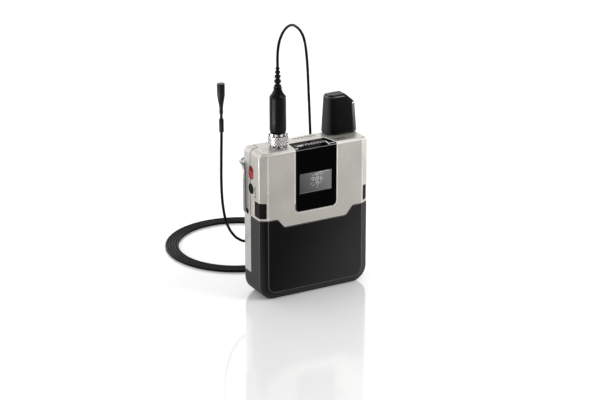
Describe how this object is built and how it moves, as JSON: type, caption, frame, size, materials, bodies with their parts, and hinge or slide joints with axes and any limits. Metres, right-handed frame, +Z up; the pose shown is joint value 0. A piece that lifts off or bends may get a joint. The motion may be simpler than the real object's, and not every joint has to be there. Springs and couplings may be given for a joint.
{
  "type": "wireless lavalier microphone",
  "caption": "Pocket wireless transmitter with stub aerial, belt clip and slide-off battery, with a locking plug, thin coiled cable and a miniature clip-on microphone.",
  "frame": {"origin": "middle of the pack's width and depth, on the flat underside of the battery block", "axes": "+Z up through the plug and the aerial, -Y is the display face, +Y the belt clip's face, +X to the right facing the display"},
  "size_m": [0.0912, 0.1323, 0.1574],
  "materials": {
    "silver_shell": "fine satin metallic",
    "rear_silver": "fine satin metallic",
    "window_black": "high gloss",
    "display_grey": "gloss",
    "white_plastic": "matt",
    "indicator": "gloss",
    "board": "satin",
    "steel": "satin",
    "gold": "satin",
    "black_plastic": "satin",
    "black_rubber": "matt",
    "red_plastic": "satin",
    "button_brown": "satin",
    "dark_steel": "satin",
    "bright_wire": "polished",
    "battery_black": "fine texture, satin",
    "cell_wrap": "satin",
    "bright_nickel": "polished, knurled",
    "plug_black": "satin",
    "cable_black": "satin",
    "mic_black": "satin"
  },
  "bodies": {
    "pack": {"front_shell": "silver_shell", "rear_shell": "rear_silver", "display_window": "window_black", "display_glass": "display_grey", "backlight": "white_plastic", "light_bar": "indicator", "status_leds": "white_plastic", "main_board": "board", "rf_shield": "steel", "bay_frame": "black_plastic", "contact_pins": "gold", "jack_socket": "steel", "socket_nut": "steel", "antenna_seal": "black_rubber", "antenna_cap": "black_plastic", "antenna_element": "gold", "mute_switch": "black_plastic", "key_switch": "steel", "release_springs": "steel", "shell_screws": "dark_steel", "frame_screws": "dark_steel", "plug_ferrule": "bright_nickel", "plug_pin": "gold", "plug_body": "plug_black", "plug_boot": "plug_black", "cable_arch": "cable_black", "cable_coil": "cable_black", "cable_riser": "cable_black", "mic_sleeve": "mic_black", "mic_housing": "mic_black", "mic_grille": "mic_black", "mic_element": "steel"},
    "battery": {"battery_case": "battery_black", "battery_lid": "battery_black", "battery_cell": "cell_wrap", "battery_board": "board", "battery_pads": "gold", "charge_contacts": "dark_steel"},
    "mute_slider": {"mute_slider": "red_plastic"},
    "side_key": {"side_key": "black_rubber"},
    "release_left": {"release_left": "button_brown"},
    "release_right": {"release_right": "button_brown"},
    "belt_clip": {"belt_clip": "bright_wire"},
    "coupling_nut": {"coupling_nut": "bright_nickel"}
  },
  "joints": [
    {"name": "battery_slide", "type": "slide", "parent": "pack", "child": "battery", "axis": [0, 0, -1], "range_m": [0, 0.05]},
    {"name": "mute_slide", "type": "slide", "parent": "pack", "child": "mute_slider", "axis": [0, 0, 1], "range_m": [0, 0.002]},
    {"name": "side_key_press", "type": "slide", "parent": "pack", "child": "side_key", "axis": [1, 0, 0], "range_m": [0, 0.0007], "stiffness_N_per_m": 400, "springref_m": -0.001},
    {"name": "release_left_press", "type": "slide", "parent": "pack", "child": "release_left", "axis": [1, 0, 0], "range_m": [0, 0.0012], "stiffness_N_per_m": 600, "springref_m": -0.001},
    {"name": "release_right_press", "type": "slide", "parent": "pack", "child": "release_right", "axis": [-1, 0, 0], "range_m": [0, 0.0012], "stiffness_N_per_m": 600, "springref_m": -0.001},
    {"name": "belt_clip_swing", "type": "hinge", "parent": "pack", "child": "belt_clip", "pos_m": [0, 0.0073, 0.0513], "axis": [-1, 0, 0], "range_deg": [0, 10], "stiffness_Nm_per_rad": 0.6, "springref_deg": -5.73},
    {"name": "coupling_nut_turn", "type": "hinge", "parent": "pack", "child": "coupling_nut", "pos_m": [-0.0197, -0.0015, 0.094], "axis": [0, 0, 1], "continuous": true}
  ]
}
